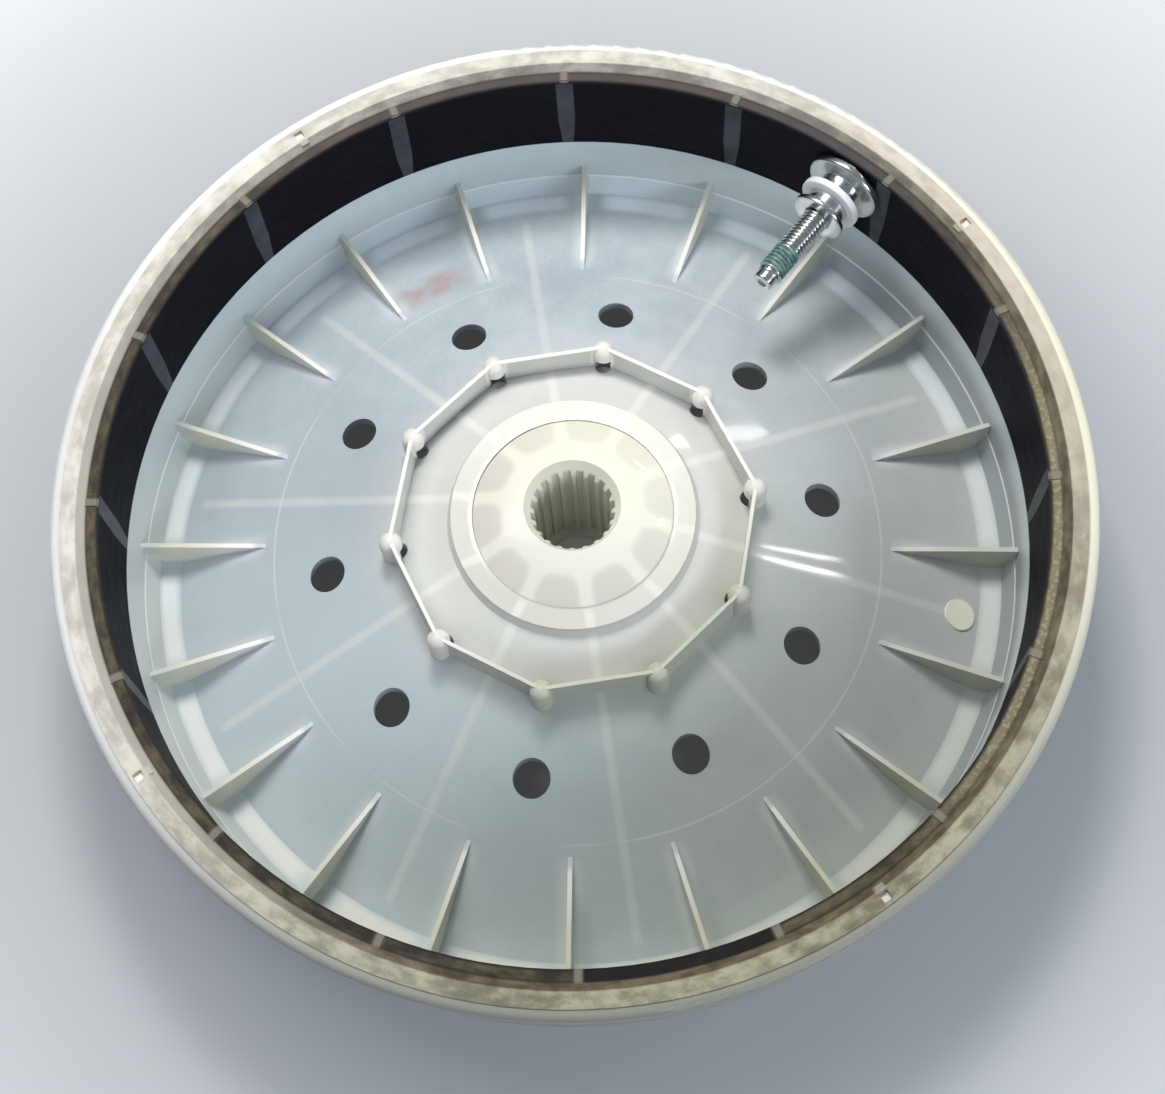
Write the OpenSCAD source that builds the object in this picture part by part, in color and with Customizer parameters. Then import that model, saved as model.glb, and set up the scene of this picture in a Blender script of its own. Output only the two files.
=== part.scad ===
// Outer rotor of a direct-drive washing machine motor, lying on its back face with the open side up.
// One deep moulding carries sixteen arc magnets and the steel ring behind them.
// The bore lies on the Z axis, and its back face lies on Z = 0.
// Every length is in millimetres, and every height is counted from the back face.

/* [Rim] */
// Outer diameter of the lip round the rim
lip_d = 280; // [252:1:300]
// Width of the rim, from the outside of the lip in to the faces of the magnets
rim_w = 13; // [12.5:0.1:16]
// Height of the rim's top face
rim_h = 61.5; // [58:0.5:70]
// Thickness of the lip from top to bottom
lip_t = 4.5; // [4.3:0.1:8]
// Radius of the lip's rounded outer edges
lip_round = 1.9; // [1:0.1:2]
// Step down from the top face to the outer band of the lip
band_drop = 0.4; // [0.1:0.1:0.5]
// Width of the flat top face
top_face_w = 4.4; // [4:0.1:5]
// Drop from the top face to the ledge over the magnets
ledge_drop = 1.5; // [0.8:0.1:2.5]
// Width of the ledge over the magnets
ledge_w = 3.4; // [2.5:0.1:4]
// Width of the slope between the ledge and the top face
ledge_slope_w = 2.2; // [1:0.1:2.4]
// Thickness of plastic over the tops of the magnets
ledge_skin = 0.8; // [0.5:0.1:1.5]

/* [Magnets and steel ring] */
// Thickness of a magnet
magnet_t = 6.2; // [5:0.1:6.4]
// Height of the magnets' lower ends
magnet_base_h = 28; // [24:0.5:34]
// Height above a magnet's lower end at which its ends turn upright
magnet_shoulder_h = 12; // [6:0.5:20]
// Width of plastic between two magnets at their lower ends
separator_foot_w = 3.2; // [2:0.1:4]
// Width of plastic between two magnets higher up
separator_w = 5; // [4:0.1:7]
// Angle of the first separator
separator_angle = 15.1; // [10:0.1:20]
// Width of the small ridge that each separator leaves on the ledge
nub_w = 2.2; // [1:0.1:4]
// Height of that ridge
nub_h = 0.4; // [0.2:0.1:0.8]
// Thickness of the steel ring behind the magnets
ring_t = 3; // [2:0.1:3.2]
// Height of the steel ring's lower edge
ring_base_h = 27; // [26:0.1:27.8]
// Thickness of plastic over the top of the steel ring
ring_cover = 1.2; // [0.8:0.1:2]
// Thickness of plastic round the outside of the steel ring
skin_t = 0.6; // [0.5:0.1:1]
// Thickness of the shelf that carries the steel ring
shelf_t = 2.5; // [2:0.1:6]
// Radius of the shelf's lower outer edge
shelf_round = 2.6; // [1:0.1:3]
// Angle of the first of the four windows over the steel ring
window_angle = 27; // [20:1:34]
// Width of a window
window_w = 2.5; // [1.5:0.1:4]
// Length of a window across the rim
window_len = 2.5; // [1.5:0.1:2.5]
// Length of the rib that lies across the slope beside a window
window_rib_len = 1.4; // [0.8:0.1:2]
// How far that rib stays below the rim's top face
window_rib_drop = 0.1; // [0.1:0.1:0.4]

/* [Cup wall and channel] */
// Thickness of the wall below the shelf
wall_t = 4.5; // [3.5:0.1:5]
// Distance from the faces of the magnets in to the crease of the wall
crease_step = 1; // [0.5:0.1:2]
// Height of the crease
crease_h = 10.2; // [8:0.1:13]
// Distance from the crease in to the channel floor
wall_foot_run = 3; // [2:0.1:5]
// Width of the channel floor
channel_w = 6; // [4:0.1:9]
// Thickness of the channel floor
floor_t = 3.8; // [3.5:0.1:5]
// Radius of the outer edge of the back
base_round = 4; // [2:0.5:5]

/* [Web] */
// Slope of the web
web_angle = 23.6; // [22.5:0.1:24.5]
// Thickness of the web, straight up
web_t = 3.7; // [3:0.1:3.8]
// Pitch circle diameter of the large holes
large_pcd = 142; // [136:1:150]
// Diameter of a large hole
large_hole_d = 10.4; // [8:0.1:12]
// Distance from the channel floor in to the middle of the gate button
button_gap = 5.8; // [5.5:0.1:9]
// Diameter of the gate button
button_d = 9.4; // [7:0.1:9.6]
// How far the gate button stands proud
button_h = 0.5; // [0.3:0.1:0.8]
// Angle of the gate button
button_angle = 342; // [340:1:344]

/* [Gusset ribs inside the cup] */
// Height of the level top of the gusset ribs
gusset_h = 15.6; // [14:0.1:18]
// Thickness of a gusset rib at its top
gusset_top_t = 1.3; // [1:0.1:2]
// Thickness of a gusset rib at its foot
gusset_foot_t = 2.3; // [2:0.1:4]
// Angle of the first gusset rib
gusset_angle = 8.6; // [6:0.1:12]

/* [Ribs under the web] */
// Thickness of a back rib
back_rib_t = 1.8; // [1.2:0.1:3]
// Height of a back rib's lower edge at the hub
back_rib_hub_h = 11; // [10.8:0.1:14]
// Height of a back rib's lower edge at the channel
back_rib_rim_h = 0.5; // [0.3:0.1:1]

/* [Ten-sided fence] */
// Distance of the fence's flats from the axis
fence_apothem = 48.5; // [47:0.1:50]
// Height of the fence above the web
fence_rise = 9.3; // [7:0.1:11]
// Thickness of the fence at its top
fence_top_t = 1; // [0.8:0.1:1.6]
// Thickness of the fence at its foot
fence_foot_t = 1.9; // [1.6:0.1:3]
// Radius of a corner boss
boss_r = 3.2; // [3:0.1:4]
// How far a corner boss stands above the fence
boss_rise = 0.3; // [0.1:0.1:1]
// Distance of a corner boss from the axis
boss_pitch_r = 51; // [50.5:0.1:52]
// Diameter of a small hole at a corner boss
small_hole_d = 4.8; // [4:0.1:5]
// Distance of a small hole from the axis
small_hole_r = 49.3; // [49:0.1:50]
// Distance from the fence's top down to the end of a small hole
small_hole_cover = 4.2; // [4:0.1:5]

/* [Hub] */
// Height of the bore's mouth above the hub ring
dome_rise = 5.5; // [4.5:0.1:8]
// Diameter of the bore's mouth
mouth_d = 26.7; // [25.5:0.1:28]
// Depth of the tapered lead-in
lead_in = 3; // [1.5:0.1:5]
// Outer diameter of the hub ring
hub_ring_d = 67.6; // [66:0.1:70]
// Height of the flat hub ring above the web at its edge
hub_ring_rise = 3.4; // [2.4:0.1:4.4]
// Width of the ring's sloping outer side
hub_ring_slope = 1.3; // [0.8:0.1:2]
// Diameter of the foot of the dome
dome_d = 55.8; // [54:0.1:58]
// Depth of the fine step at the foot of the dome
dome_step = 0.6; // [0.3:0.1:1]
// Outer diameter of the sleeve round the bore
sleeve_d = 32.4; // [31:0.1:33]
// Height of the underside of the hub round the sleeve
hub_under_h = 10; // [6:0.5:14]
// Thickness of the roof over the pockets under the hub
pocket_roof_t = 4; // [3.5:0.5:9]
// Radius of a pocket's wide end
pocket_outer_r = 4.6; // [3.5:0.1:5]
// Distance of a pocket's wide end from the axis
pocket_outer_pitch = 22.9; // [22.5:0.1:23]
// Radius of a pocket's narrow end
pocket_inner_r = 2.2; // [1.5:0.1:2.4]
// Distance of a pocket's narrow end from the axis
pocket_inner_pitch = 19; // [18.8:0.1:19.5]

/* [Splined bore] */
// Diameter at the bottom of the grooves
spline_d = 23.4; // [22.6:0.1:24]
// Diameter across the tips of the teeth
tooth_tip_d = 21.2; // [20.4:0.1:22]
// Width of a tooth at its root
tooth_root_w = 1.9; // [1.5:0.1:2.4]
// Width of a tooth at its tip
tooth_tip_w = 1.1; // [0.8:0.1:1.4]
// Diameter of the plain hole through the lip at the back
back_hole_d = 18.4; // [16:0.1:19]
// Thickness of that lip
back_lip_t = 3; // [2:0.1:5]

/* [Fixing bolt] */
// Angle round the cup at which the bolt hangs
bolt_angle = 43; // [43:0.5:54]
// Height of the bolt's axis
bolt_h = 48.4; // [42:0.1:48.4]
// Gap left between the bolt's head and the magnet that holds it
bolt_gap = 0.05; // [0.02:0.01:0.2]
// Diameter of the head
bolt_head_d = 23; // [20:0.1:23.1]
// Thickness of the head
bolt_head_t = 2.5; // [2:0.1:4]
// Width across the flats of the hexagon socket
socket_af = 6; // [5:0.5:8]
// Depth of the hexagon socket
socket_depth = 5; // [3:0.5:8]
// Diameter of the shoulder
shoulder_d = 12.6; // [11:0.1:14]
// Length of the shoulder
shoulder_len = 10.3; // [9:0.1:14]
// Diameter over the thread
thread_d = 7.8; // [5:0.1:9]
// Length of the thread
thread_len = 24.8; // [15:0.1:30]
// Diameter of the plain point
point_d = 6; // [4:0.1:7]
// Length of the plain point
point_len = 3; // [1:0.1:5]
// Outer diameter of the nylon washer
nylon_d = 18.6; // [17:0.1:22]
// Thickness of the nylon washer
nylon_t = 2.2; // [1.5:0.1:3]
// Distance from the head to the nylon washer
nylon_gap = 4.3; // [3:0.1:5]
// Radial clearance of the nylon washer on the shoulder
nylon_clear = 0.05; // [0.02:0.01:0.2]
// Outer diameter of the steel washer
washer_d = 16.4; // [15:0.1:20]
// Thickness of the steel washer
washer_t = 1.6; // [1.2:0.1:2.5]
// Radial clearance of the steel washer on the thread
washer_clear = 0.1; // [0.05:0.01:0.3]

/* [Hidden] */
$fn = 180;
magnet_count = 16;
window_count = 4;
hole_count = 10;
gusset_count = 20;
tooth_count = 20;
chamfer = 0.5;
overlap = 1;

function magnet_name(i) = str("magnet_", i < 9 ? "0" : "", i + 1);

lip_r = lip_d / 2;
face_r = lip_r - rim_w;
ring_in_r = face_r + magnet_t;
ring_out_r = ring_in_r + ring_t;
skin_r = ring_out_r + skin_t;
wall_out_r = face_r + wall_t;
crease_r = face_r - crease_step;
base_r = crease_r + wall_t;
channel_outer_r = crease_r - wall_foot_run;
channel_inner_r = channel_outer_r - channel_w;
button_r = channel_inner_r - button_gap;
ledge_h = rim_h - ledge_drop;
magnet_top_h = ledge_h - ledge_skin;
ring_top_h = rim_h - ring_cover;
shelf_h = ring_base_h - shelf_t;
slope_foot_r = face_r + ledge_w;
slope_top_r = slope_foot_r + ledge_slope_w;
band_r = slope_top_r + top_face_w;
band_h = rim_h - band_drop;
lip_under_h = rim_h - lip_t;

// Radius at which the underside of the web reaches the back face
under_r = channel_inner_r + (floor_t - web_t) / tan(web_angle);
hub_r = hub_ring_d / 2;
hub_slope_r = hub_r + hub_ring_slope;
hub_ring_h = web_top(hub_slope_r) + hub_ring_rise;
hub_h = hub_ring_h + dome_rise;
pocket_top_h = hub_ring_h - pocket_roof_t;
dome_edge_r = dome_d / 2;
dome_edge_h = hub_ring_h - dome_step;
mouth_r = mouth_d / 2;
sleeve_r = sleeve_d / 2;
spline_r = spline_d / 2;
tooth_tip_r = tooth_tip_d / 2;
spline_top_h = hub_h - lead_in;

// The dome is part of a sphere through the bore's mouth and the foot of the dome
dome_drop = hub_h - dome_edge_h;
dome_centre_h = dome_edge_h
    - (dome_edge_r * dome_edge_r - mouth_r * mouth_r - dome_drop * dome_drop) / (2 * dome_drop);
dome_r = sqrt(mouth_r * mouth_r + (hub_h - dome_centre_h) * (hub_h - dome_centre_h));

magnet_pitch = 360 / magnet_count;
hole_pitch = 360 / hole_count;
fence_h = web_top(fence_apothem) + fence_rise;
small_hole_top = fence_h - small_hole_cover;
fence_side = 2 * fence_apothem * tan(hole_pitch / 2);
bolt_head_r = bolt_head_d / 2;
bolt_seat_r = sqrt(face_r * face_r - bolt_head_r * bolt_head_r) - bolt_gap;

function web_top(r) = floor_t + (channel_inner_r - r) * tan(web_angle);
function web_middle(r) = web_top(r) - web_t / 2;
function web_bottom(r) = web_top(r) - web_t;

// Copies its child round the axis
module around(count, first = 0) {
    for (i = [0 : count - 1])
        rotate(first + i * 360 / count)
            children();
}

// Extrudes an outline of width and height outwards from one radius to another
module radial_bar(from_r, to_r, outline) {
    translate([from_r, 0, 0])
        rotate([90, 0, 90])
            linear_extrude(to_r - from_r)
                polygon(outline);
}

// Extrudes an outline of radius and height across the radius, centred on it
module cross_bar(length, outline) {
    rotate([90, 0, 0])
        linear_extrude(length, center = true)
            polygon(outline);
}

// Half section of a pipe
module band(inner_r, outer_r, low, high) {
    translate([inner_r, low])
        square([outer_r - inner_r, high - low]);
}

// Quarter of a disc that rounds a lower outer edge, with its centre at the given place
module lower_round(centre_r, centre_h, round_r) {
    intersection() {
        translate([centre_r, centre_h])
            circle(round_r);
        band(centre_r, centre_r + 2 * round_r, centre_h - 2 * round_r, centre_h);
    }
}

// Half section of the lip with its two rounded edges
module lip_section() {
    edge_r = lip_r - lip_round;
    band(skin_r - overlap, edge_r, lip_under_h, band_h);
    band(edge_r - overlap, lip_r, lip_under_h + lip_round, band_h - lip_round);
    translate([edge_r, lip_under_h + lip_round])
        circle(lip_round);
    translate([edge_r, band_h - lip_round])
        circle(lip_round);
}

// Half section of the rim, the wall, the channel and the web, without the hub
module cup_section() {
    polygon([
        [under_r, 0],
        [base_r - base_round, 0],
        [base_r, base_round],
        [wall_out_r, shelf_h],
        [skin_r - shelf_round, shelf_h],
        [skin_r, shelf_h + shelf_round],
        [skin_r, lip_under_h + overlap],
        [band_r, lip_under_h + overlap],
        [band_r, rim_h],
        [slope_top_r, rim_h],
        [slope_foot_r, ledge_h],
        [face_r, ledge_h],
        [face_r, magnet_base_h],
        [crease_r, crease_h],
        [channel_outer_r, floor_t],
        [channel_inner_r, floor_t],
        [hub_r - overlap, web_top(hub_r - overlap)],
        [hub_r - overlap, web_bottom(hub_r - overlap)]
    ]);
    lower_round(base_r - base_round, base_round, base_round);
    lower_round(skin_r - shelf_round, shelf_h + shelf_round, shelf_round);
    lip_section();
}

// Half section of the sleeve, the hub ring and the dome
module hub_section() {
    slope_run = hub_ring_slope / (hub_ring_h - web_top(hub_slope_r));
    polygon([
        [0, 0],
        [sleeve_r, 0],
        [sleeve_r, hub_under_h],
        [hub_r, hub_under_h],
        [hub_slope_r + overlap * slope_run, web_top(hub_slope_r) - overlap],
        [hub_r, hub_ring_h],
        [dome_edge_r, hub_ring_h],
        [dome_edge_r, dome_edge_h - overlap],
        [0, dome_edge_h - overlap]
    ]);
    intersection() {
        translate([0, dome_centre_h])
            circle(dome_r);
        band(0, dome_edge_r + overlap, hub_under_h, hub_h + overlap / 2);
    }
}

// Half section of the steel ring, and of the room for it
module ring_section() {
    band(ring_in_r, ring_out_r, ring_base_h, ring_top_h);
}

// Bar that parts two magnets, lying on the X axis and a little taller than they are
module separator_bar(from_r, to_r) {
    shoulder = separator_w / 2;
    lean = (separator_w - separator_foot_w) / 2 / magnet_shoulder_h;
    foot = separator_foot_w / 2 - lean * overlap;
    radial_bar(from_r, to_r, [
        [-foot, magnet_base_h - overlap],
        [foot, magnet_base_h - overlap],
        [shoulder, magnet_base_h + magnet_shoulder_h],
        [shoulder, magnet_top_h + overlap],
        [-shoulder, magnet_top_h + overlap],
        [-shoulder, magnet_base_h + magnet_shoulder_h]
    ]);
}

// Room for the magnets, which leaves the plastic between them flush with their faces
module magnet_pockets() {
    inner_r = face_r - overlap;
    outer_r = ring_in_r + overlap;
    difference() {
        rotate_extrude()
            band(inner_r, outer_r, magnet_base_h, magnet_top_h);
        around(magnet_count, separator_angle)
            separator_bar(inner_r - overlap, outer_r + overlap);
    }
}

// Small ridge on the ledge over each separator
module ledge_nubs() {
    around(magnet_count, separator_angle)
        radial_bar(face_r + nub_h, slope_foot_r + nub_h, [
            [-nub_w / 2, ledge_h - nub_h],
            [nub_w / 2, ledge_h - nub_h],
            [nub_w / 2, ledge_h + nub_h],
            [-nub_w / 2, ledge_h + nub_h]
        ]);
}

// Twenty level-topped ribs that stiffen the corner between the wall and the web
module gussets() {
    inner_r = channel_inner_r - (gusset_h + overlap - web_middle(channel_inner_r)) / tan(web_angle);
    outer_r = crease_r + overlap;
    intersection() {
        around(gusset_count, gusset_angle)
            radial_bar(inner_r, outer_r, [
                [-gusset_foot_t / 2, 0],
                [gusset_foot_t / 2, 0],
                [gusset_top_t / 2, gusset_h],
                [-gusset_top_t / 2, gusset_h]
            ]);
        rotate_extrude()
            polygon([
                [inner_r, gusset_h + overlap],
                [channel_inner_r, web_middle(channel_inner_r)],
                [channel_outer_r + overlap, floor_t / 2],
                [outer_r + overlap, crease_h],
                [outer_r + overlap, gusset_h + overlap]
            ]);
    }
}

// Ten ribs under the web, from the hub out to the channel
module back_ribs() {
    around(hole_count, hole_pitch / 2)
        cross_bar(back_rib_t, [
            [hub_r - overlap, back_rib_hub_h],
            [under_r + overlap, back_rib_rim_h],
            [under_r + overlap, floor_t / 2],
            [hub_r - overlap, web_middle(hub_r - overlap)]
        ]);
}

// Half section of a corner boss: a post with a round top
module boss_section() {
    dome_h = fence_h + boss_rise - boss_r;
    band(0, boss_r, web_middle(boss_pitch_r), dome_h);
    intersection() {
        translate([0, dome_h])
            circle(boss_r);
        band(0, 2 * boss_r, web_middle(boss_pitch_r), fence_h + 2 * boss_r);
    }
}

// Ten-sided fence on the web, with a round-topped boss at each corner
module fence() {
    foot_h = web_middle(fence_apothem);
    around(hole_count, hole_pitch / 2)
        cross_bar(fence_side, [
            [fence_apothem - fence_foot_t / 2, foot_h],
            [fence_apothem + fence_foot_t / 2, foot_h],
            [fence_apothem + fence_top_t / 2, fence_h],
            [fence_apothem - fence_top_t / 2, fence_h]
        ]);
    around(hole_count)
        translate([boss_pitch_r, 0, 0])
            rotate_extrude()
                boss_section();
}

// Low round pad on the web where the mould was filled
module gate_button() {
    rotate(button_angle)
        translate([button_r, 0, web_top(button_r)])
            rotate([0, web_angle, 0])
                translate([0, 0, -overlap])
                    cylinder(h = overlap + button_h, d = button_d);
}

// Ribs across the slope of the rim, one beside each window
module window_ribs() {
    top_h = rim_h - window_rib_drop;
    around(window_count, window_angle)
        radial_bar(slope_top_r - window_rib_len, slope_top_r + overlap / 2, [
            [-window_w / 2, ledge_h - overlap / 2],
            [window_w / 2, ledge_h - overlap / 2],
            [window_w / 2, top_h],
            [-window_w / 2, top_h]
        ]);
}

// Windows in the top of the rim that show the steel ring
module windows() {
    middle_r = (ring_in_r + ring_out_r) / 2;
    around(window_count, window_angle)
        translate([middle_r - window_len / 2, -window_w / 2, ring_top_h - overlap / 2])
            cube([window_len, window_w, ring_cover + overlap]);
}

// Outline of one petal-shaped pocket: two circles and the flanks that touch both
module pocket_outline() {
    lean = asin((pocket_outer_r - pocket_inner_r) / (pocket_outer_pitch - pocket_inner_pitch));
    translate([pocket_inner_pitch, 0])
        circle(pocket_inner_r);
    translate([pocket_outer_pitch, 0])
        circle(pocket_outer_r);
    polygon([
        [pocket_inner_pitch - pocket_inner_r * sin(lean), pocket_inner_r * cos(lean)],
        [pocket_outer_pitch - pocket_outer_r * sin(lean), pocket_outer_r * cos(lean)],
        [pocket_outer_pitch - pocket_outer_r * sin(lean), -pocket_outer_r * cos(lean)],
        [pocket_inner_pitch - pocket_inner_r * sin(lean), -pocket_inner_r * cos(lean)]
    ]);
}

// Pockets that lighten the hub from below
module hub_pockets() {
    around(hole_count)
        translate([0, 0, hub_under_h - overlap])
            linear_extrude(pocket_top_h - hub_under_h + overlap)
                pocket_outline();
}

// The splined bore, its tapered lead-in and the plain hole through the back lip
module bore() {
    taper = (mouth_r - spline_r) / lead_in;
    cone_foot_h = spline_top_h - (spline_r - tooth_tip_r + overlap) / taper;
    translate([0, 0, back_lip_t])
        linear_extrude(spline_top_h - back_lip_t + overlap)
            difference() {
                circle(spline_r);
                around(tooth_count, 180 / tooth_count)
                    polygon([
                        [tooth_tip_r, -tooth_tip_w / 2],
                        [spline_r + overlap, -tooth_root_w / 2],
                        [spline_r + overlap, tooth_root_w / 2],
                        [tooth_tip_r, tooth_tip_w / 2]
                    ]);
            }
    translate([0, 0, cone_foot_h])
        cylinder(
            h = hub_h - cone_foot_h + overlap,
            r1 = tooth_tip_r - overlap,
            r2 = mouth_r + taper * overlap
        );
    translate([0, 0, -overlap])
        cylinder(h = back_lip_t + 2 * overlap, d = back_hole_d);
}

// Large holes through the web, and small blind holes in the corner bosses
module web_holes() {
    around(hole_count) {
        translate([large_pcd / 2, 0, web_bottom(large_pcd / 2 + large_hole_d)])
            cylinder(h = web_t + 2 * large_hole_d, d = large_hole_d);
        translate([small_hole_r, 0, web_bottom(small_hole_r + small_hole_d)])
            cylinder(h = small_hole_top - web_bottom(small_hole_r + small_hole_d), d = small_hole_d);
    }
}

// The moulding: hub, web, ribs, wall and rim in one piece
module rotor_body() {
    color([0.78, 0.82, 0.84])
        difference() {
            union() {
                rotate_extrude()
                    difference() {
                        union() {
                            cup_section();
                            hub_section();
                        }
                        ring_section();
                    }
                ledge_nubs();
                gussets();
                back_ribs();
                fence();
                gate_button();
                window_ribs();
            }
            magnet_pockets();
            hub_pockets();
            bore();
            web_holes();
            windows();
        }
}

// Rolled steel ring that closes the magnetic circuit behind the magnets
module backing_ring() {
    color([0.55, 0.55, 0.53])
        rotate_extrude()
            ring_section();
}

// One arc magnet, whose ends lean in the way the separators do
module magnet(i) {
    color([0.09, 0.09, 0.11])
        difference() {
            rotate(separator_angle + i * magnet_pitch)
                rotate_extrude(angle = magnet_pitch)
                    band(face_r, ring_in_r, magnet_base_h, magnet_top_h);
            for (side = [0, 1])
                rotate(separator_angle + (i + side) * magnet_pitch)
                    separator_bar(face_r - overlap, ring_in_r + overlap);
        }
}

// Turns a piece that stands on the Z axis so that it points from a magnet towards the bore
module on_magnet() {
    rotate(bolt_angle)
        translate([bolt_seat_r, 0, bolt_h])
            rotate([0, -90, 0])
                children();
}

// Shoulder bolt of the rotor, held by a magnet
module fixing_bolt() {
    color([0.72, 0.74, 0.74])
        on_magnet()
            difference() {
                union() {
                    cylinder(h = chamfer, r1 = bolt_head_r - chamfer, r2 = bolt_head_r);
                    translate([0, 0, chamfer])
                        cylinder(h = bolt_head_t - chamfer, r = bolt_head_r);
                    cylinder(h = bolt_head_t + shoulder_len, d = shoulder_d);
                    cylinder(h = bolt_head_t + shoulder_len + thread_len, d = thread_d);
                    cylinder(h = bolt_head_t + shoulder_len + thread_len + point_len, d = point_d);
                }
                translate([0, 0, -overlap])
                    linear_extrude(socket_depth + overlap)
                        circle(d = socket_af / cos(30), $fn = 6);
            }
}

// White nylon washer on the shoulder
module nylon_washer() {
    color([0.93, 0.93, 0.95])
        on_magnet()
            translate([0, 0, bolt_head_t + nylon_gap])
                difference() {
                    cylinder(h = nylon_t, d = nylon_d);
                    translate([0, 0, -overlap])
                        cylinder(h = nylon_t + 2 * overlap, d = shoulder_d + 2 * nylon_clear);
                }
}

// Plated steel washer against the end of the shoulder
module steel_washer() {
    color([0.66, 0.68, 0.66])
        on_magnet()
            translate([0, 0, bolt_head_t + shoulder_len])
                difference() {
                    cylinder(h = washer_t, d = washer_d);
                    translate([0, 0, -overlap])
                        cylinder(h = washer_t + 2 * overlap, d = thread_d + 2 * washer_clear);
                }
}

rotor_body();
backing_ring();
for (i = [0 : magnet_count - 1])
    magnet(i);
fixing_bolt();
nylon_washer();
steel_washer();
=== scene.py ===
from math import atan2, cos, hypot, pi, radians, sin, sqrt, tan

import bmesh
import bpy
from mathutils import Matrix, Vector


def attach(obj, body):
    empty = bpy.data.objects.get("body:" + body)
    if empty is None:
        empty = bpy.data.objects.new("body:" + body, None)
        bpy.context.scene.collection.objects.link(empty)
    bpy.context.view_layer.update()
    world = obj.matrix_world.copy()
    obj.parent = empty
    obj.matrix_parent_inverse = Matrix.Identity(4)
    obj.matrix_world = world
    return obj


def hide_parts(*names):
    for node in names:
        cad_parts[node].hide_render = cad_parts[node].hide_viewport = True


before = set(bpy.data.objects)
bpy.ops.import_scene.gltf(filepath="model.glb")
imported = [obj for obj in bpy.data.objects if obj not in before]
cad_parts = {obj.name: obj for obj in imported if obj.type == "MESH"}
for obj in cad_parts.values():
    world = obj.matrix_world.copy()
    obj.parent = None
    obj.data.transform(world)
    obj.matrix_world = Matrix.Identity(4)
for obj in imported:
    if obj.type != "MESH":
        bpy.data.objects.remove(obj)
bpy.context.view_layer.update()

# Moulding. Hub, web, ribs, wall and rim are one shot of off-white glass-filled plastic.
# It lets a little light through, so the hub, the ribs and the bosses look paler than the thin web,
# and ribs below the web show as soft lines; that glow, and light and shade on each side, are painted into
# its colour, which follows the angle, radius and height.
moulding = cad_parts["rotor_body"]
mm = 0.001

hole_pitch = radians(36)
magnet_pitch = radians(22.5)
separator_angle = radians(15.1)
window_pitch = radians(90)
window_angle = radians(27)
gusset_pitch = radians(18)
gusset_angle = radians(8.6)

rim_face_h = 59 * mm
magnet_face_r = 127 * mm
slope_foot_r = 130.4 * mm
slope_top_r = 132.6 * mm
band_r = 137 * mm
crease_r = 126 * mm
crease_h = 10.2 * mm
channel_outer_r = 123 * mm
channel_r = 117 * mm
channel_h = 3.8 * mm
wall_top_h = 27.9 * mm
web_slope = tan(radians(23.6))
rib_inner_r = 28.5 * mm
rib_outer_r = 113 * mm
tool_circle_r = 87.1 * mm
gusset_tip_r = 86 * mm
gusset_top_h = 16.2 * mm
hub_r = 33.8 * mm
hub_ring_h = 43 * mm
dome_r = 27.9 * mm
petal_length = 8.4 * mm
spline_r = 11.7 * mm
spline_top_h = 45.5 * mm
fence_inner_r = 45.5 * mm
fence_outer_r = 56 * mm
fence_h = 43 * mm
boss_r = 3 * mm
button_pitch = 111.2 * mm
button_angle = radians(342)
button_r = 4.4 * mm
smudge_pitch = 97 * mm
smudge_angle = radians(109)
skin_r = 136.8 * mm
shelf_h = 27 * mm
lip_h = 56 * mm


class Wire:
    """A number in a tree of nodes. Sums on wires and numbers add Math nodes."""

    def __init__(self, recipe, socket):
        self.recipe = recipe
        self.socket = socket

    def math(self, operation, *terms):
        return self.recipe.node("ShaderNodeMath", {"operation": operation}, dict(enumerate(terms)))

    def __add__(self, other):
        return self.math("ADD", self, other)

    def __radd__(self, other):
        return self.math("ADD", other, self)

    def __sub__(self, other):
        return self.math("SUBTRACT", self, other)

    def __rsub__(self, other):
        return self.math("SUBTRACT", other, self)

    def __mul__(self, other):
        return self.math("MULTIPLY", self, other)

    def __rmul__(self, other):
        return self.math("MULTIPLY", other, self)

    def __truediv__(self, other):
        return self.math("DIVIDE", self, other)

    def __pow__(self, other):
        return self.math("POWER", self, other)

    def size(self):
        return self.math("ABSOLUTE", self)

    def rise(self, low, high):
        """0 below low, 1 above high, and a smooth step between them."""
        ends = {0: self, 1: low, 2: high, 3: 0.0, 4: 1.0}
        return self.recipe.node("ShaderNodeMapRange", {"interpolation_type": "SMOOTHSTEP"}, ends)

    def fall(self, low, high):
        return 1 - self.rise(low, high)

    def within(self, low, high, soft):
        """1 between low and high, with edges that fade over soft on either side."""
        return self.rise(low - soft, low + soft) * self.fall(high - soft, high + soft)

    def near(self, middle, reach, soft):
        """1 within reach of the middle, fading out over soft."""
        return (self - middle).size().fall(reach, reach + soft)


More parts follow.
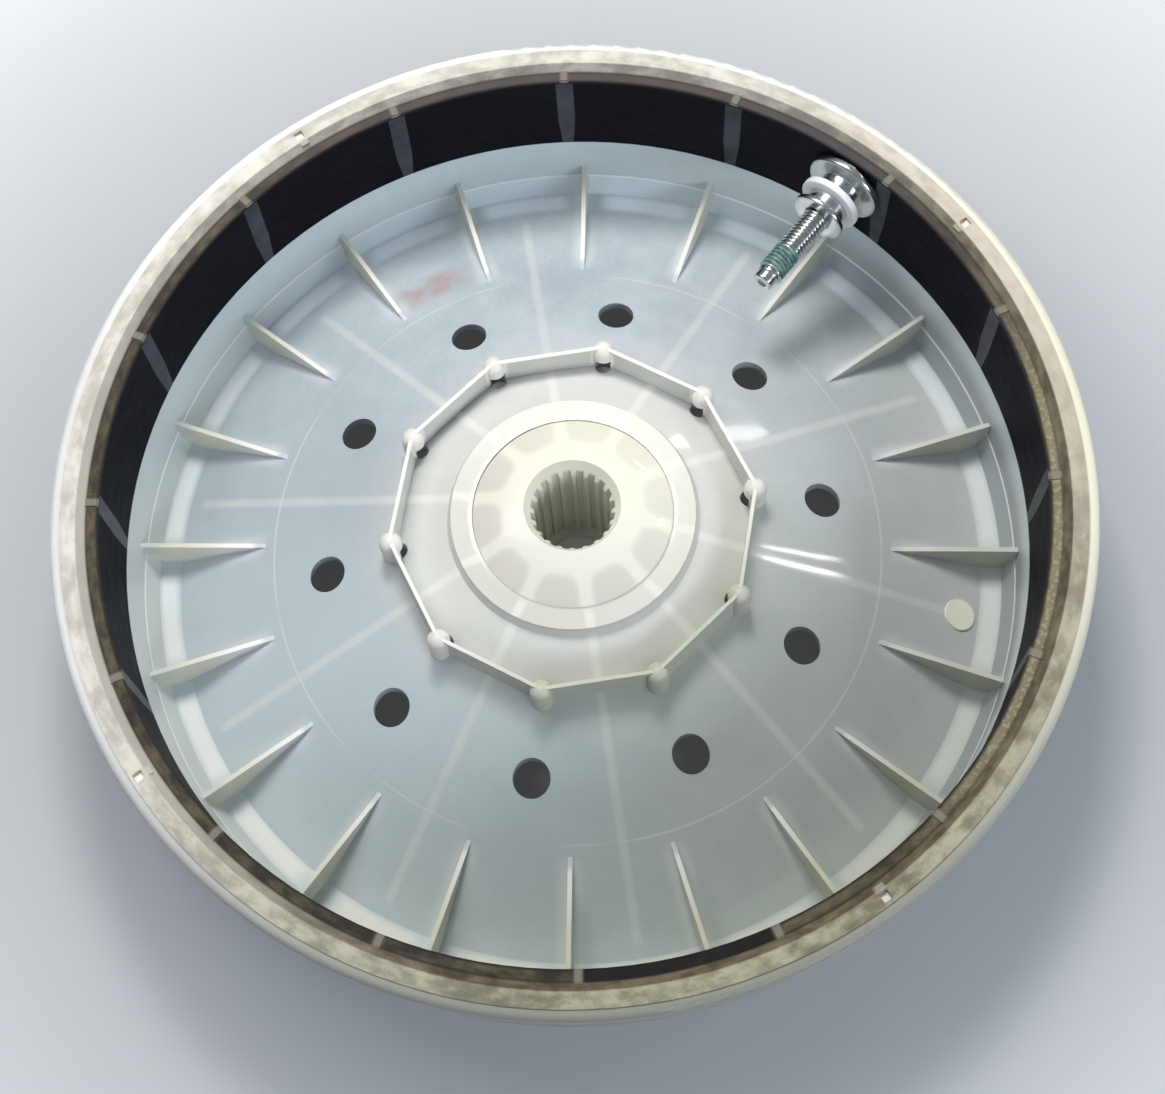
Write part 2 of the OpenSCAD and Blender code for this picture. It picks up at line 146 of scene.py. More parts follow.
class Recipe:
    """A tree of nodes. Its node method adds any node, and the others are short names for some."""

    def __init__(self, tree):
        self.tree = tree

    def node(self, kind, settings, inputs, output=0):
        made = self.tree.nodes.new(kind)
        for name, value in settings.items():
            setattr(made, name, value)
        for key, value in inputs.items():
            self.feed(made.inputs[key], value)
        return Wire(self, made.outputs[output])

    def feed(self, socket, value):
        if isinstance(value, Wire):
            self.tree.links.new(value.socket, socket)
        else:
            socket.default_value = value

    def split(self, vector):
        return [self.node("ShaderNodeSeparateXYZ", {}, {0: vector}, i) for i in range(3)]

    def vector(self, x, y, z):
        return self.node("ShaderNodeCombineXYZ", {}, {0: x, 1: y, 2: z})

    def place(self):
        """The point on the surface, and its three coordinates."""
        point = self.node("ShaderNodeTexCoord", {}, {}, "Object")
        return point, *self.split(point)

    def noise(self, point, scale, detail):
        """Smooth noise around 0.5."""
        return self.node("ShaderNodeTexNoise", {}, {"Vector": point, "Scale": scale, "Detail": detail})

    def blend(self, under, over, share):
        return self.node("ShaderNodeMix", {"data_type": "RGBA"}, {0: share, 6: under, 7: over}, 2)

    def bump(self, height, strength, distance):
        inputs = {"Height": height, "Strength": strength, "Distance": distance}
        return self.node("ShaderNodeBump", {}, inputs)


class Finish(Recipe):
    """A material. Settings are sockets of its shader, with spaces as underscores."""

    def __init__(self, name, **settings):
        self.material = bpy.data.materials.new(name)
        self.material.use_nodes = True
        super().__init__(self.material.node_tree)
        self.shader = self.tree.nodes["Principled BSDF"]
        for setting, value in settings.items():
            self.surface(setting.replace("_", " "), value)

    def surface(self, name, value):
        self.feed(self.shader.inputs[name], value)


def paint(red, green, blue):
    """A colour given as it looks on a screen, 0 to 255, as the shader takes it."""
    line = [c / 255 for c in (red, green, blue)]
    return tuple(c / 12.92 if c <= 0.04045 else ((c + 0.055) / 1.055) ** 2.4 for c in line) + (1.0,)


def make_moulded_plastic():
    plastic = Finish("moulded_plastic", Specular_IOR_Level=0.35, Coat_Roughness=0.06)
    point, x, y, z = plastic.place()
    radius = (x * x + y * y) ** 0.5
    angle = y.math("ARCTAN2", y, x)
    web_top = channel_h + (channel_r - radius) * web_slope

    def arc(first, pitch):
        """Distance along the arc from the nearest of a ring of places."""
        return (angle - first).math("WRAP", angle - first, pitch / 2, -pitch / 2).size() * radius

    def toward(direction):
        """1 on the side that lies in a compass direction, and -1 on the other side."""
        return (x * cos(radians(direction)) + y * sin(radians(direction))) / radius

    # Cloudy web, with fine grain all over the moulding
    cloud = plastic.noise(point, 24.0, 2.0)
    mottle = plastic.noise(point, 130.0, 2.0)
    grain = plastic.noise(point, 1500.0, 1.0)
    texture = cloud * 0.5 + mottle * 0.25 + grain * 0.25
    colour = plastic.blend(paint(181, 193, 201), paint(209, 218, 224), texture.rise(0.3, 0.7))
    on_web = (z - web_top).size().fall(0.3 * mm, 0.9 * mm)
    above_web = (z - web_top).rise(0.8 * mm, 2.0 * mm)

    # Painted light and shade by side: warmer on the right, darker and bluer on the left, paler on the near
    # left
    warm_side = toward(335).rise(-0.2, 0.9)
    colour = plastic.blend(colour, paint(198, 201, 196), warm_side * 0.6)
    colour = plastic.blend(colour, paint(180, 191, 198), toward(175).rise(0.5, 1.0) * 0.6)
    colour = plastic.blend(colour, paint(208, 220, 224), toward(222).rise(0.4, 1.0) * 0.6)
    # Painted glow: paler towards the hub, inside the fence, where the plastic is thicker
    near_hub = radius.fall(38 * mm, 66 * mm)
    colour = plastic.blend(colour, paint(228, 226, 218), near_hub * (0.65 + mottle * 0.3))

    # Ribs behind the web, painted as soft pale lines where light through the plastic shows them, and the
    # faint broken circle that the tool left
    rib_line = arc(hole_pitch / 2, hole_pitch).fall(0.5 * mm, 2.0 * mm)
    rib_line = rib_line * radius.within(rib_inner_r, rib_outer_r, 1.5 * mm)
    rib_share = 0.22 + mottle * 0.3 + near_hub * 0.3
    colour = plastic.blend(colour, paint(240, 241, 235), rib_line * rib_share * on_web)
    circle = radius.near(tool_circle_r, 0.15 * mm, 0.25 * mm) * on_web
    colour = plastic.blend(colour, paint(238, 241, 240), circle * cloud.rise(0.4, 0.55) * 0.45)

    # Soft white patches of the channel between the gussets, painted light, bluer far off and fainter on the
    # right, and the steep face beyond it, with painted light and shade: paler and bluer far off, greyer on
    # the left, darker on the right
    gusset = arc(gusset_angle, gusset_pitch)
    channel = radius.within(channel_r + 0.6 * mm, channel_outer_r - 0.4 * mm, 1.3 * mm)
    channel = channel * z.fall(4.4 * mm, 5.4 * mm) * gusset.rise(2.5 * mm, 9.0 * mm)
    white = plastic.blend(paint(240, 237, 227), paint(236, 246, 255), toward(80) * 0.5 + 0.5)
    colour = plastic.blend(colour, white, channel * (0.85 - toward(340).rise(0.2, 1.0) * 0.35))
    steep = radius.within(channel_outer_r, crease_r, 0.2 * mm) * z.within(channel_h, crease_h, 0.4 * mm)
    steep_tone = plastic.blend(paint(228, 240, 248), paint(204, 210, 204), toward(185).rise(0.3, 1.0))
    steep_tone = plastic.blend(steep_tone, paint(154, 162, 166), toward(355).rise(0.1, 0.9))
    colour = plastic.blend(colour, steep_tone, steep * 0.85)

    # Gussets, cream at the wall and whiter at their inner tips as painted light, with painted shade on the
    # right-hand ones
    on_gusset = gusset.fall(1.25 * mm, 1.7 * mm) * radius.rise(gusset_tip_r, gusset_tip_r + 4 * mm)
    on_gusset = on_gusset * z.fall(gusset_top_h - 0.5 * mm, gusset_top_h) * above_web
    on_gusset = on_gusset * z.rise(4.6 * mm, 6 * mm) * radius.fall(crease_r, crease_r + 0.6 * mm)
    cream = plastic.blend(paint(255, 253, 248), paint(234, 230, 210), radius.rise(97 * mm, 116 * mm))
    cream = plastic.blend(cream, paint(206, 205, 190), toward(5).rise(0.3, 1.0) * 0.6)
    outer_end = z.rise(8 * mm, 11 * mm) * radius.rise(channel_r, channel_outer_r)
    cream = plastic.blend(cream, paint(212, 214, 206), outer_end)
    colour = plastic.blend(colour, cream, on_gusset * 0.9)
    # Painted light round the gussets' feet, which lightens the shade they cast there
    foot = gusset.fall(1.4 * mm, 5.0 * mm) * radius.rise(gusset_tip_r, gusset_tip_r + 10 * mm)
    foot = foot * z.fall(15 * mm, 16 * mm)
    colour = plastic.blend(colour, paint(240, 243, 243), foot * (1 - on_gusset) * 0.45)

    # Wall, with painted shade low on the right, painted light on the left, and a painted highlight as the
    # bright line of its crease
    wall = radius.rise(crease_r - 0.15 * mm, crease_r + 0.1 * mm) * z.within(crease_h, wall_top_h, 0.3 * mm)
    frosted = plastic.blend(paint(206, 218, 221), paint(230, 237, 239), grain * 0.6 + mottle * 0.4)
    shaded = toward(350).rise(0.2, 1.0) * z.fall(14 * mm, 26 * mm)
    frosted = plastic.blend(frosted, paint(164, 168, 168), shaded)
    frosted = plastic.blend(frosted, paint(214, 214, 209), toward(210).rise(0.1, 1.0) * 0.8)
    colour = plastic.blend(colour, frosted, wall * 0.9)
    crease = radius.within(crease_r - 0.6 * mm, crease_r + 0.6 * mm, 0.2 * mm)
    crease = crease * z.near(crease_h, 0.2 * mm, 0.35 * mm)
    colour = plastic.blend(colour, paint(252, 253, 252), crease * 0.9)

    # Fence, its bosses and the gate button, thin and cream coloured, with painted shade on the fence's near
    # side and on its flanks between the bosses
    fence = above_web * radius.within(fence_inner_r, fence_outer_r, 1 * mm)
    pale = plastic.blend(paint(244, 241, 232), paint(214, 213, 198), toward(292).rise(0.2, 1.0))
    colour = plastic.blend(colour, pale, fence * 0.95)
    flank = fence * arc(0, hole_pitch).rise(boss_r, boss_r + 0.8 * mm)
    flank = flank * z.fall(fence_h - 0.7 * mm, fence_h - 0.2 * mm)
    colour = plastic.blend(colour, paint(208, 209, 203), flank * 0.75)
    button_x, button_y = button_pitch * cos(button_angle), button_pitch * sin(button_angle)
    from_button = ((x - button_x) ** 2.0 + (y - button_y) ** 2.0) ** 0.5
    button = from_button.fall(button_r - 0.4 * mm, button_r + 0.5 * mm)
    colour = plastic.blend(colour, paint(252, 249, 236), button * 0.95)

    # Hub: a paler ring round a cream dome, with a fine groove between them; ring and dome are painted
    # lighter on the side towards the lamps, and the ribs below show on the ring as painted pale lines
    level = z.rise(hub_ring_h - 1.4 * mm, hub_ring_h - 0.5 * mm)
    hub = radius.fall(hub_r - 0.3 * mm, hub_r + 0.5 * mm) * level
    lit = toward(52) * 0.5 + 0.5
    ring = plastic.blend(paint(200, 198, 189), paint(229, 226, 213), lit)
    colour = plastic.blend(colour, ring, hub * 0.95)
    colour = plastic.blend(colour, paint(240, 237, 226), hub * rib_line * 0.5)
    dome = radius.fall(dome_r - 0.4 * mm, dome_r) * hub
    colour = plastic.blend(colour, plastic.blend(paint(246, 243, 232), paint(254, 251, 231), lit), dome)

    # Ten greyer petals at the dome's edge, where the pockets below leave only a thin roof, painted fainter
    # on the far right as painted light
    across = arc(0, hole_pitch) / (radius * 0.25)
    along = (dome_r - radius) / petal_length
    petal = (across ** 4.0 + along.size() ** 4.0).fall(0.3, 1.4) * dome
    faint = toward(45).rise(-0.6, 1.0)
    colour = plastic.blend(colour, paint(222, 218, 208), petal * (0.85 - faint * 0.45))
    # The dark line of the groove is painted shade, fainter on the far right
    groove = radius.near(dome_r, 0.1 * mm, 0.35 * mm) * hub
    colour = plastic.blend(colour, paint(178, 177, 168), groove * (0.85 - faint * 0.45))
    bore = radius.fall(spline_r, spline_r + 0.3 * mm) * z.fall(spline_top_h - 2 * mm, spline_top_h)
    colour = plastic.blend(colour, paint(225, 227, 213), bore)

    # Reddish smudge near the edge of the web
    smudge = angle.within(smudge_angle - radians(6), smudge_angle + radians(6), radians(3.5)) * on_web
    smudge = smudge * radius.within(smudge_pitch - 4.5 * mm, smudge_pitch + 4.5 * mm, 2.5 * mm)
    colour = plastic.blend(colour, paint(180, 146, 142), smudge * mottle.rise(0.24, 0.6) * 0.65)

    # Rim: blotches drawn out round its top, which is darker and more olive on the near side, partly dirt and
    # partly painted shade
    around_x, around_y = x / radius, y / radius
    ring_point = plastic.vector(around_x, around_y, z * 8.0 + radius * 14.0)
    blotch = plastic.noise(ring_point, 26.0, 2.0)
    smear = plastic.noise(ring_point, 8.0, 1.0)
    wear = (blotch * 0.5 + smear * 0.4 + grain * 0.1).rise(0.34, 0.66)
    near_dirt_and_shade = toward(285).rise(-0.1, 1.0)
    top = z.rise(rim_face_h, rim_face_h + 0.4 * mm)
    bright_top = plastic.blend(paint(186, 180, 169), paint(230, 224, 214), wear)
    bright_top = plastic.blend(bright_top, paint(208, 197, 172), toward(345).rise(0.2, 1.0) * 0.7)
    dirty_shaded_top = plastic.blend(paint(120, 114, 92), paint(184, 179, 153), wear)
    rim = plastic.blend(bright_top, dirty_shaded_top, near_dirt_and_shade)
    # A painted highlight along the rounded outer edge, a little darker on the left, with painted shade on
    # its near side
    edge = radius.rise(band_r - 0.3 * mm, band_r + 0.3 * mm)
    lit_edge = plastic.blend(paint(236, 236, 234), paint(254, 254, 253), wear)
    lit_edge = plastic.blend(lit_edge, paint(216, 215, 216), toward(190).rise(0.5, 1.0) * 0.7)
    lit_edge = plastic.blend(lit_edge, paint(246, 242, 220), toward(345).rise(0.2, 1.0))
    edge_light_and_shade = plastic.blend(lit_edge, paint(150, 151, 140), toward(270).rise(0.1, 1.0))
    rim = plastic.blend(rim, edge_light_and_shade, edge)
    # The slope below the top: lighter on the left as painted light, darker and more olive on the near side,
    # partly dirt and partly painted shade
    slope = radius.fall(slope_top_r - 0.3 * mm, slope_top_r + 0.3 * mm)
    bright_slope = plastic.blend(paint(136, 130, 121), paint(178, 172, 161), wear)
    bright_slope = plastic.blend(bright_slope, paint(188, 184, 172), toward(190).rise(0.4, 1.0) * 0.7)
    dirty_shaded_slope = plastic.blend(paint(74, 67, 48), paint(122, 114, 90), wear)
    rim = plastic.blend(rim, plastic.blend(bright_slope, dirty_shaded_slope, toward(312).rise(-0.4, 0.6)), slope)

    # Dark ledge over the magnets, darkest along its edges and on the near side
    ledge = radius.fall(slope_foot_r - 0.4 * mm, slope_foot_r + 0.4 * mm)
    near_darkest = angle.within(radians(-97.4), radians(-75.2), radians(0.8))
    ledge_edge = 1 - radius.within(magnet_face_r + 0.5 * mm, slope_foot_r - 0.4 * mm, 0.5 * mm)
    dark = plastic.blend(paint(40, 32, 23), paint(100, 92, 74), wear)
    dark = plastic.blend(dark, paint(82, 74, 78), toward(75).rise(0.3, 1.0) * 0.7)
    dark = plastic.blend(dark, paint(20, 15, 12), ledge_edge * 0.9)
    dark = plastic.blend(dark, paint(16, 10, 8), near_darkest * (1.1 - wear * 0.25))
    rim = plastic.blend(rim, dark, ledge)
    speckle = plastic.noise(point, 800.0, 1.0)
    golden = angle.within(radians(-50), radians(12), radians(12)) * (0.6 + speckle.rise(0.5, 0.62) * 0.4)
    golden = golden * radius.within(magnet_face_r + 0.9 * mm, slope_foot_r - 0.2 * mm, 0.5 * mm)
    rim = plastic.blend(rim, paint(178, 167, 133), golden * 0.78)
    nub = arc(separator_angle, magnet_pitch).fall(0.5 * mm, 1.7 * mm) * ledge
    rim = plastic.blend(rim, paint(142, 135, 124), nub * 0.75)
    window = arc(window_angle, window_pitch)
    pad = window.fall(1.3 * mm, 1.8 * mm) * radius.within(131.2 * mm, 132.9 * mm, 0.3 * mm)
    rim = plastic.blend(rim, paint(206, 201, 188), pad * 0.4)
    colour = plastic.blend(colour, rim, top)

    # Round the outside, the lip's edge and the duller skin over the steel ring
    lip = radius.rise(skin_r + 0.1 * mm, skin_r + 0.5 * mm) * z.rise(lip_h, lip_h + 1.5 * mm)
    colour = plastic.blend(colour, paint(232, 231, 226), lip * (1 - top))
    skin = radius.near(skin_r, 0.2 * mm, 0.2 * mm) * z.within(shelf_h, lip_h, 1.5 * mm)
    colour = plastic.blend(colour, paint(176, 174, 167), skin * 0.8)

    # Bars between the magnets, grey from the dark behind them, with painted shade on the far side
    bar = radius.near(magnet_face_r, 0.3 * mm, 0.3 * mm)
    bar = bar * z.within(wall_top_h - 0.1 * mm, rim_face_h + 0.7 * mm, 0.15 * mm)
    bar_tone = plastic.blend(paint(74, 70, 76), paint(30, 32, 44), toward(90).rise(-0.1, 0.8))
    colour = plastic.blend(colour, bar_tone, bar * (0.85 + mottle * 0.15))

    # Painted shade: all of it is a little greyer and yellower towards the near right
    painted_near_shade = toward(285).rise(0.0, 1.0) * radius.rise(34 * mm, 50 * mm)
    tone = plastic.blend((1.0, 1.0, 1.0, 1), (0.78, 0.79, 0.74, 1), painted_near_shade * (1 - top))
    multiply = {"data_type": "RGBA", "blend_type": "MULTIPLY"}
    plastic.surface("Base Color", plastic.node("ShaderNodeMix", multiply, {0: 1.0, 6: colour, 7: tone}, 2))
    plastic.surface("Roughness", 0.28 + mottle * 0.16 + top * (wear * 0.2 + ledge * 0.3) + bar * 0.3)
    plastic.surface("Coat Weight", on_web * 0.4)
    plastic.surface("Normal", plastic.bump(grain, 0.2, 0.08 * mm))
    return plastic.material


moulding.data.materials.clear()
moulding.data.materials.append(make_moulded_plastic())

# Steel ring. Rolled from bare strip, it closes the magnetic circuit behind the magnets.
# It is moulded in, and only four small windows in the top of the rim show it.
backing_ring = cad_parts["backing_ring"]


def make_strip_steel():
    strip = Finish("strip_steel", Metallic=0.5)
    x, y, z = strip.place()[1:]
    drawn_out = strip.vector(x * 0.2, y * 0.2, z)
    grain = strip.noise(drawn_out, 900.0, 3.0)
    strip.surface("Base Color", strip.blend(paint(226, 223, 212), paint(250, 248, 240), grain))
    strip.surface("Roughness", 0.45 + grain * 0.25)
    strip.surface("Normal", strip.bump(grain, 0.2, 0.05 * mm))
    return strip.material


backing_ring.data.materials.clear()
backing_ring.data.materials.append(make_strip_steel())


# Magnets. Sixteen pressed and sintered ferrite arcs, ground on their inner faces.
# They are moulded in, so that only those faces show.
def make_ferrite():
    ferrite = Finish("ferrite", Specular_IOR_Level=0.08)
    point, x, y, z = ferrite.place()
    pores = ferrite.noise(point, 420.0, 4.0)
    sheen = ferrite.noise(point, 35.0, 3.0)
    drawn_out = ferrite.vector(x * 0.15, y * 0.15, z)
    grinding = ferrite.noise(drawn_out, 700.0, 2.0)
    ferrite.surface("Base Color", ferrite.blend(paint(5, 5, 12), paint(24, 23, 33), pores * sheen * 1.6))
    ferrite.surface("Roughness", 0.5 + grinding * 0.25)
    ferrite.surface("Normal", ferrite.bump(pores + grinding, 0.25, 0.08 * mm))
    return ferrite.material


ferrite = make_ferrite()
for name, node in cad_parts.items():
    if name.startswith("magnet_"):
        node.data.materials.clear()
        node.data.materials.append(ferrite)

# Fixing bolt. Headed and turned from steel with a rolled thread, then zinc plated,
# with a patch of dried thread-locking compound. A magnet holds it by its head.
# It is turned here with its head's face at the origin, and then put on the magnet.
bolt_angle = radians(43)
bolt_axis_h = 48.4 * mm
head_r = 11.5 * mm
head_t = 2.5 * mm
shoulder_r = 6.3 * mm
shoulder_end = head_t + 10.3 * mm
thread_r = 3.9 * mm
core_r = 3.35 * mm
thread_end = shoulder_end + 24.8 * mm
thread_pitch = 1.25 * mm
point_r = 3 * mm
point_end = thread_end + 3 * mm
dimple_r = 1.7 * mm
dimple_depth = 0.7 * mm
socket_r = 3 * mm
socket_depth = 5 * mm
patch_from = 28 * mm
patch_to = 36.2 * mm
seat_r = sqrt(magnet_face_r ** 2 - head_r ** 2) - 0.05 * mm
on_magnet = Matrix.Rotation(bolt_angle, 4, "Z") @ Matrix.Translation((seat_r, 0, bolt_axis_h))
on_magnet = on_magnet @ Matrix.Rotation(-pi / 2, 4, "Y")


def turned(name, outline, steps=96):
    """A piece turned on a lathe: an outline of (radius, height), closed if it starts off the axis."""
    mesh = bmesh.new()
    turns = [2 * pi * i / steps for i in range(steps)]
    rings = []
    for r, h in outline:
        rings.append([mesh.verts.new((r * cos(a), r * sin(a), h)) for a in (turns if r > 0 else [0])])
    followers = rings[1:] + (rings[:1] if outline[0][0] > 0 else [])
    for low, high in zip(rings, followers):
        for i in range(steps):
            corners = [ring[j % len(ring)] for ring, j in ((low, i), (low, i + 1), (high, i + 1), (high, i))]
            mesh.faces.new(list(dict.fromkeys(corners)))
    bmesh.ops.recalc_face_normals(mesh, faces=mesh.faces)
    piece = bpy.data.objects.new(name, bpy.data.meshes.new(name))
    mesh.to_mesh(piece.data)
    mesh.free()
    piece.data.shade_smooth()
    bpy.context.scene.collection.objects.link(piece)
    return piece


def rounded(corners, steps=5):
    """An outline with rounded corners. Each corner is (radius, height, rounding)."""
    line = []
    for i, (r, h, rounding) in enumerate(corners):
        here = Vector((r, h))
        if rounding == 0:
            line.append((r, h))
            continue
        to_before = (Vector(corners[i - 1][:2]) - here).normalized()
        to_after = (Vector(corners[(i + 1) % len(corners)][:2]) - here).normalized()
        half = to_before.angle(to_after) / 2
        centre = here + (to_before + to_after).normalized() * (rounding / sin(half))
        start = here + to_before * (rounding / tan(half)) - centre
        end = here + to_after * (rounding / tan(half)) - centre
        for k in range(steps + 1):
            line.append(tuple(centre + start.slerp(end, k / steps) * rounding))
    return line


def make_thread():
    """A helical ridge that starts at a height on the axis, joined to the geometry it is given."""
    tree = bpy.data.node_groups.new("rolled_thread", "GeometryNodeTree")
    tree.interface.new_socket(name="Geometry", in_out="INPUT", socket_type="NodeSocketGeometry")
    for name in ("Start", "Length", "Pitch", "Core radius", "Depth"):
        tree.interface.new_socket(name=name, in_out="INPUT", socket_type="NodeSocketFloat")
    tree.interface.new_socket(name="Material", in_out="INPUT", socket_type="NodeSocketMaterial")
    tree.interface.new_socket(name="Geometry", in_out="OUTPUT", socket_type="NodeSocketGeometry")
    recipe = Recipe(tree)
    given = tree.nodes.new("NodeGroupInput")
    blank, start, length, pitch, core, depth, material = [Wire(recipe, s) for s in given.outputs[:7]]
    helix = recipe.node("GeometryNodeCurveSpiral", {}, {
        "Resolution": 40, "Rotations": length / pitch, "Start Radius": core, "End Radius": core,
        "Height": length})
    helix = recipe.node("GeometryNodeSetCurveNormal", {"mode": "Z_UP"}, {"Curve": helix})
    root, crest, sunk = pitch * 0.45, pitch * 0.1, depth * 0.25
    ridge = recipe.node("GeometryNodeCurvePrimitiveQuadrilateral", {"mode": "POINTS"}, {
        "Point 1": recipe.vector(sunk, root, 0.0), "Point 2": recipe.vector(0 - depth, crest, 0.0),
        "Point 3": recipe.vector(0 - depth, 0 - crest, 0.0), "Point 4": recipe.vector(sunk, 0 - root, 0.0)})
    swept = recipe.node("GeometryNodeCurveToMesh", {}, {
        "Curve": helix, "Profile Curve": ridge, "Fill Caps": True})
    swept = recipe.node("GeometryNodeTransform", {}, {
        "Geometry": swept, "Translation": recipe.vector(0.0, 0.0, start)})
    joined = tree.nodes.new("GeometryNodeJoinGeometry")
    recipe.feed(joined.inputs[0], swept)
    recipe.feed(joined.inputs[0], blank)
    real = recipe.node("GeometryNodeRealizeInstances", {}, {"Geometry": Wire(recipe, joined.outputs[0])})
    done = recipe.node("GeometryNodeSetMaterial", {}, {"Geometry": real, "Material": material})
    recipe.feed(tree.nodes.new("NodeGroupOutput").inputs[0], done)
    return tree


def apply_tree(piece, tree, values):
    """Runs a tree on a piece and keeps the result as its plain mesh."""
    modifier = piece.modifiers.new(tree.name, "NODES")
    modifier.node_group = tree
    for socket in tree.interface.items_tree:
        if socket.in_out == "INPUT" and socket.name in values:
            modifier[socket.identifier] = values[socket.name]
    result = piece.evaluated_get(bpy.context.evaluated_depsgraph_get())
    piece.data = bpy.data.meshes.new_from_object(result)
    piece.modifiers.clear()


def make_zinc():
    zinc = Finish("zinc_plate")
    point, x, y, z = zinc.place()
    grain = zinc.noise(point, 650.0, 3.0)
    tint = zinc.noise(point, 140.0, 2.0)
    plate = zinc.blend(paint(196, 201, 202), paint(232, 233, 229), tint)

    # The patch of compound lies round the thread near the tip
    from_head = seat_r - (x * cos(bolt_angle) + y * sin(bolt_angle))
    ragged = from_head + (tint - 0.5) * 2 * mm
    patch = ragged.within(patch_from, patch_to, 0.3 * mm) * grain.rise(0.22, 0.36)
    compound = zinc.blend(paint(70, 104, 102), paint(134, 168, 162), grain.rise(0.3, 0.7))
    zinc.surface("Base Color", zinc.blend(plate, compound, patch))
    zinc.surface("Metallic", 1 - patch)
    zinc.surface("Roughness", 0.12 + grain * 0.2 + patch * 0.35)
    zinc.surface("Normal", zinc.bump(grain + tint, 0.15, 0.05 * mm))
    return zinc.material


zinc_plate = make_zinc()
bolt = turned("fixing_bolt_turned", rounded([
    (0, socket_depth, 0),
    (socket_r, socket_depth, 0),
    (socket_r, 0, 0.3 * mm),
    (head_r, 0, 0.8 * mm),
    (head_r, head_t, 0.8 * mm),
    (shoulder_r, head_t, 0.5 * mm),
    (shoulder_r, shoulder_end, 0.5 * mm),
    (core_r, shoulder_end, 0.2 * mm),
    (core_r, thread_end, 0.2 * mm),
    (point_r, thread_end + 0.5 * mm, 0.2 * mm),
    (point_r, point_end, 0.6 * mm),
    (dimple_r, point_end, 0.2 * mm),
    (dimple_r * 0.7, point_end - dimple_depth, 0.2 * mm),
    (0, point_end - dimple_depth, 0),
]))

# The round wall of the socket is pushed out to a hexagon
for vertex in bolt.data.vertices:
    if hypot(*vertex.co.xy) < socket_r + 0.35 * mm and vertex.co.z < socket_depth + 0.1 * mm:
        turn = (atan2(vertex.co.y, vertex.co.x) + pi / 6) % (pi / 3) - pi / 6
        vertex.co.xy *= 1 / cos(turn)

apply_tree(bolt, make_thread(), {
    "Start": shoulder_end + 1 * mm, "Length": thread_end - shoulder_end - 1.6 * mm, "Pitch": thread_pitch,
    "Core radius": core_r, "Depth": thread_r - core_r, "Material": zinc_plate})
bolt.data.transform(on_magnet)
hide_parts("fixing_bolt")
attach(bolt, "root")

# Nylon washer. Punched from white nylon sheet, it is loose on the bolt's shoulder.
# Its edges are slightly rounded.
nylon_from = head_t + 4.3 * mm
nylon_to = nylon_from + 2.2 * mm
nylon_r = 9.3 * mm
nylon_hole_r = shoulder_r + 0.05 * mm


def make_nylon():
    nylon = Finish("white_nylon", Subsurface_Weight=0.3, Subsurface_Radius=(1.0, 1.0, 1.0),
                   Subsurface_Scale=1 * mm)
    grain = nylon.noise(nylon.place()[0], 500.0, 3.0)
    nylon.surface("Base Color", nylon.blend(paint(240, 240, 246), paint(254, 254, 255), grain))
    nylon.surface("Roughness", 0.35 + grain * 0.2)
    nylon.surface("Normal", nylon.bump(grain, 0.15, 0.05 * mm))
    return nylon.material


nylon_washer = turned("nylon_washer_punched", rounded([
    (nylon_hole_r, nylon_from, 0.2 * mm),
    (nylon_r, nylon_from, 0.5 * mm),
    (nylon_r, nylon_to, 0.5 * mm),
    (nylon_hole_r, nylon_to, 0.2 * mm),
]))
nylon_washer.data.materials.append(make_nylon())
nylon_washer.data.transform(on_magnet)
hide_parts("nylon_washer")
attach(nylon_washer, "root")

# Steel washer. Stamped from sheet and zinc plated, it lies against the end of the shoulder.
# The stamp has rounded one edge more than the other.
washer_to = shoulder_end + 1.6 * mm
washer_r = 8.2 * mm
washer_hole_r = thread_r + 0.1 * mm
steel_washer = turned("steel_washer_stamped", rounded([
    (washer_hole_r, shoulder_end, 0.2 * mm),
    (washer_r, shoulder_end, 0.3 * mm),
    (washer_r, washer_to, 0.6 * mm),
    (washer_hole_r, washer_to, 0.4 * mm),
]))
steel_washer.data.materials.append(zinc_plate)
steel_washer.data.transform(on_magnet)
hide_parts("steel_washer")
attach(steel_washer, "root")

# Studio. A pale plain floor that glows for the camera, and lamps round the rotor: a small key on
# the far side for the bolt's shadow, a softer one beside it, and a low wide fill on the near right.
# Three more on the right, narrow or long, stand where the web mirrors them as glints.
floor_half = 4.0
corners = [(-floor_half, -floor_half, 0), (floor_half, -floor_half, 0), (floor_half, floor_half, 0),
           (-floor_half, floor_half, 0)]
floor = bpy.data.objects.new("floor", bpy.data.meshes.new("floor"))
floor.data.from_pydata(corners, [], [(0, 1, 2, 3)])
floor_paint = Finish("floor_paint", Base_Color=(0.5, 0.52, 0.54, 1), Roughness=0.8, Specular_IOR_Level=0.1,
                     Emission_Strength=1.0)
camera_ray, glossy_ray, transmission_ray = [
    floor_paint.node("ShaderNodeLightPath", {}, {}, ray)
    for ray in ("Is Camera Ray", "Is Glossy Ray", "Is Transmission Ray")]
x, y = floor_paint.place()[1:3]
away_from_rotor = ((x * x + y * y) ** 0.5).rise(0.13, 0.34)
glow = (camera_ray + glossy_ray + transmission_ray) * (away_from_rotor * 0.92 + 0.08)
floor_paint.surface("Emission Color", floor_paint.blend((0, 0, 0, 1), (0.46, 0.47, 0.48, 1), glow))
floor.data.materials.append(floor_paint.material)
bpy.context.scene.collection.objects.link(floor)


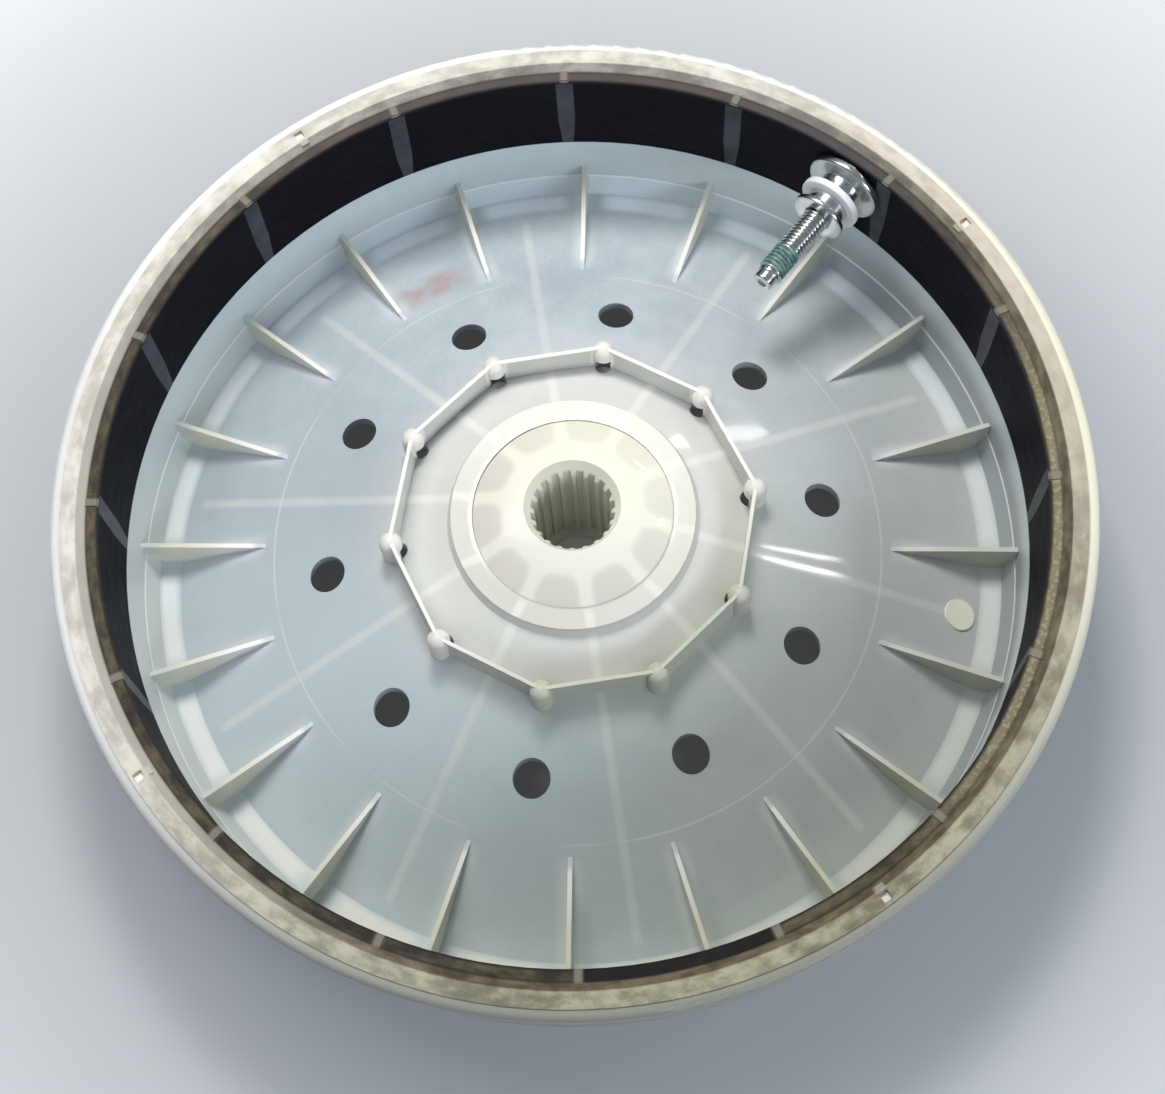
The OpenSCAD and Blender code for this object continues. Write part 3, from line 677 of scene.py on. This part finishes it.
def soft_lamp(name, azimuth, elevation, distance, size, watts, tint):
    """A flat lamp that faces the hub from a compass angle and a height angle."""
    turn, lift = radians(azimuth), radians(elevation)
    away = Vector((cos(turn) * cos(lift), sin(turn) * cos(lift), sin(lift)))
    light = bpy.data.lights.new(name, "AREA")
    light.shape = "RECTANGLE"
    light.size, light.size_y = size
    light.energy = watts
    light.color = tint
    lamp = bpy.data.objects.new(name, light)
    lamp.location = away * distance + Vector((0, 0, hub_ring_h))
    lamp.rotation_euler = away.to_track_quat("Z", "Y").to_euler()
    bpy.context.scene.collection.objects.link(lamp)


soft_lamp("key", 88, 63, 0.7, (0.18, 0.18), 2.6, (1.0, 0.98, 0.94))
soft_lamp("side", 142, 60, 0.6, (0.35, 0.35), 1.2, (1.0, 0.985, 0.96))
soft_lamp("low_fill", 305, 24, 1.2, (1.2, 0.3), 6.0, (0.86, 0.94, 1.0))
soft_lamp("glint_left", 10.5, 35.8, 1.6, (0.014, 0.08), 0.28, (1.0, 1.0, 1.0))
soft_lamp("glint_right", 7.1, 36.9, 1.6, (0.014, 0.08), 0.38, (1.0, 1.0, 1.0))
soft_lamp("glint_far", 45.5, 25, 1.6, (0.28, 0.05), 0.9, (1.0, 1.0, 1.0))

world = bpy.data.worlds.new("studio")
world.use_nodes = True
bpy.context.scene.world = world
sky = Recipe(world.node_tree)
height = sky.split(sky.node("ShaderNodeTexCoord", {}, {}, "Generated"))[2]
colour = sky.blend((0.125, 0.145, 0.175, 1), (0.215, 0.24, 0.28, 1), height.rise(0.1, 0.8))
sky.feed(world.node_tree.nodes["Background"].inputs["Color"], colour)

lens = bpy.data.cameras.new("camera")
lens.sensor_width = 36
lens.lens = 62.57
lens.clip_start = 0.01
camera = bpy.data.objects.new("camera", lens)
camera.location = (-0.009873, -0.204849, 0.560708)
camera.rotation_euler = [radians(turn) for turn in (20.524, 1.928, -8.372)]
bpy.context.scene.collection.objects.link(camera)
bpy.context.scene.camera = camera
bpy.context.scene.view_settings.view_transform = "Standard"
